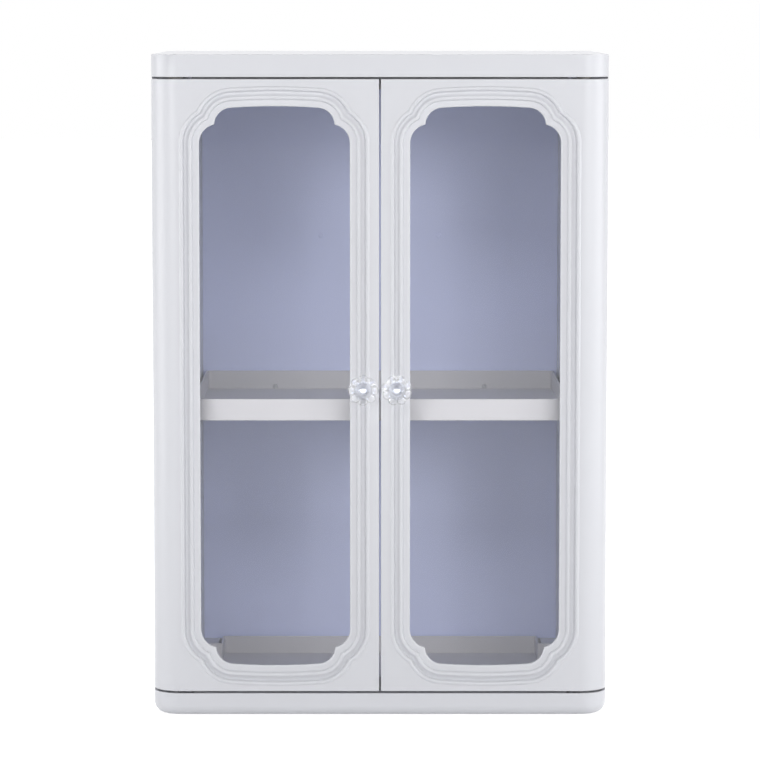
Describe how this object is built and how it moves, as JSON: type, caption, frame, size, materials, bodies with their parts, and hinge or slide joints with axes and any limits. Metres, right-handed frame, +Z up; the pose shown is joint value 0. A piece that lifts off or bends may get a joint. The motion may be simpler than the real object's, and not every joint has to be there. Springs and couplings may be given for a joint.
{
  "type": "hanging wall cabinet",
  "caption": "Hanging wall cabinet in white moulded plastic with glazed double doors on pivot pins, crystal knobs, a shelf tray and a floor tray.",
  "frame": {"origin": "midway between the two hanging holes, on the wall plane at the back of the hanging apron", "axes": "+Z up, +Y into the wall, +X to the viewer's right; the doors face -Y"},
  "size_m": [0.43, 0.332, 0.625],
  "materials": {
    "white_plastic": "glossy moulded plastic",
    "back_blue": "satin lavender-blue sheet",
    "tray_grey": "satin grey-beige moulding",
    "clear_panel": "clear polished sheet",
    "crystal": "clear polished moulding",
    "knob_metal": "polished",
    "steel": "zinc plated",
    "nylon": "natural nylon",
    "magnet_black": "dark moulded magnet"
  },
  "bodies": {
    "carcass": {"top_panel": "white_plastic", "bottom_panel": "white_plastic", "side_panel_left": "white_plastic", "side_panel_right": "white_plastic", "back_panel": "back_blue", "back_panel_plugs": "back_blue", "hanger_plate_left": "steel", "hanger_plate_right": "steel", "hanger_screws": "steel", "shelf_tray": "tray_grey", "floor_tray": "tray_grey", "shelf_screws": "steel", "shelf_nuts": "steel", "upper_pivot_pin_left": "steel", "upper_pivot_pin_right": "steel", "lower_pivot_pin_left": "steel", "lower_pivot_pin_right": "steel", "top_panel_screws": "steel", "bottom_panel_screws": "steel", "catch_magnet_left": "magnet_black", "catch_magnet_right": "magnet_black"},
    "door_left": {"door_frame_left": "white_plastic", "door_window_left": "clear_panel", "window_clips_left": "white_plastic", "window_clip_screws_left": "steel", "knob_crystal_left": "crystal", "knob_insert_left": "knob_metal", "knob_washer_left": "knob_metal", "knob_screw_left": "steel", "strike_plate_left": "steel", "strike_screw_left": "steel", "upper_bush_left": "nylon", "lower_bush_left": "nylon"},
    "door_right": {"door_frame_right": "white_plastic", "door_window_right": "clear_panel", "window_clips_right": "white_plastic", "window_clip_screws_right": "steel", "knob_crystal_right": "crystal", "knob_insert_right": "knob_metal", "knob_washer_right": "knob_metal", "knob_screw_right": "steel", "strike_plate_right": "steel", "strike_screw_right": "steel", "upper_bush_right": "nylon", "lower_bush_right": "nylon"}
  },
  "joints": [
    {"name": "door_left_hinge", "type": "hinge", "parent": "carcass", "child": "door_left", "pos_m": [-0.1915, -0.2795, 0], "axis": [0, 0, -1], "range_deg": [0, 100]},
    {"name": "door_right_hinge", "type": "hinge", "parent": "carcass", "child": "door_right", "pos_m": [0.1915, -0.2795, 0], "axis": [0, 0, 1], "range_deg": [0, 100]}
  ]
}
